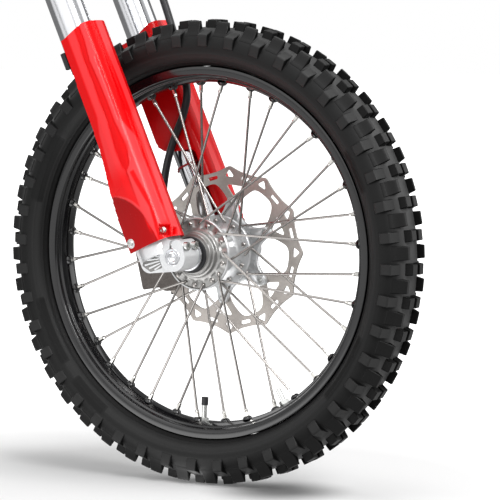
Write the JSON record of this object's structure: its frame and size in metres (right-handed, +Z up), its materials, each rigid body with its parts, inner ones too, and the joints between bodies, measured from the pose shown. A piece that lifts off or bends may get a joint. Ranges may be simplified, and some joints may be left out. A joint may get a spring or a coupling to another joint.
{
  "type": "motorcycle front wheel and fork",
  "caption": "Off-road motorcycle front end: spoked knobbly wheel in an upside-down fork with guards, disc brake and triple clamps.",
  "frame": {"origin": "centre of the lower steering bearing seat on the stem", "axes": "+X forward, +Y to the rider's left along the wheel axle, +Z up; the fork leans back 24 degrees"},
  "size_m": [0.8125, 0.27, 1.212],
  "materials": {
    "tyre": "moulded knobbly rubber, satin",
    "black_rim": "black anodised aluminium, satin",
    "hub_alloy": "machined and bead blasted",
    "spoke_steel": "drawn stainless wire",
    "nipple_metal": "bright nickel plate",
    "disc_steel": "ground stainless steel",
    "zinc_steel": "zinc plated fasteners",
    "bright_steel": "ground and chromed steel",
    "cast_alloy": "cast and bead blasted aluminium",
    "tube_alloy": "polished drawn aluminium",
    "caliper_alloy": "dark hard anodised casting",
    "pad_lining": "sintered lining on steel plate",
    "black_rubber": "moulded nitrile rubber",
    "red_plastic": "glossy moulded polypropylene",
    "black_plastic": "moulded nylon",
    "hose_cover": "smooth hose cover, glossy"
  },
  "bodies": {
    "fork": {"axle": "bright_steel", "axle_nut": "zinc_steel", "brake_hose": "hose_cover", "brake_pads": "pad_lining", "caliper": "caliper_alloy", "caliper_bolts": "zinc_steel", "clamp_bolts": "zinc_steel", "dust_seal_left": "black_rubber", "dust_seal_right": "black_rubber", "fork_cap_left": "cast_alloy", "fork_cap_right": "cast_alloy", "guard_bolts": "zinc_steel", "guard_clips": "black_plastic", "guard_left": "red_plastic", "guard_right": "red_plastic", "hose_fittings": "zinc_steel", "lower_clamp": "cast_alloy", "lug_left": "cast_alloy", "lug_right": "cast_alloy", "outer_tube_left": "tube_alloy", "outer_tube_right": "tube_alloy", "pad_pin": "zinc_steel", "pinch_bolts": "zinc_steel", "spacer_left": "cast_alloy", "spacer_right": "cast_alloy", "stanchion_left": "bright_steel", "stanchion_right": "bright_steel", "steering_stem": "bright_steel", "stem_nut": "zinc_steel", "travel_ring": "black_rubber", "upper_clamp": "cast_alloy"},
    "wheel": {"brake_disc": "disc_steel", "disc_bolts": "zinc_steel", "hub": "hub_alloy", "hub_bearings": "bright_steel", "hub_seals": "black_rubber", "nipples": "nipple_metal", "rim": "black_rim", "rim_lock": "zinc_steel", "spokes_left": "spoke_steel", "spokes_right": "spoke_steel", "tyre": "tyre", "valve_cap": "black_plastic", "valve_stem": "zinc_steel"}
  },
  "joints": [
    {"name": "wheel_spin", "type": "hinge", "parent": "fork", "child": "wheel", "pos_m": [0.35672, 0, -0.66599], "axis": [0, 1, 0], "continuous": true}
  ]
}
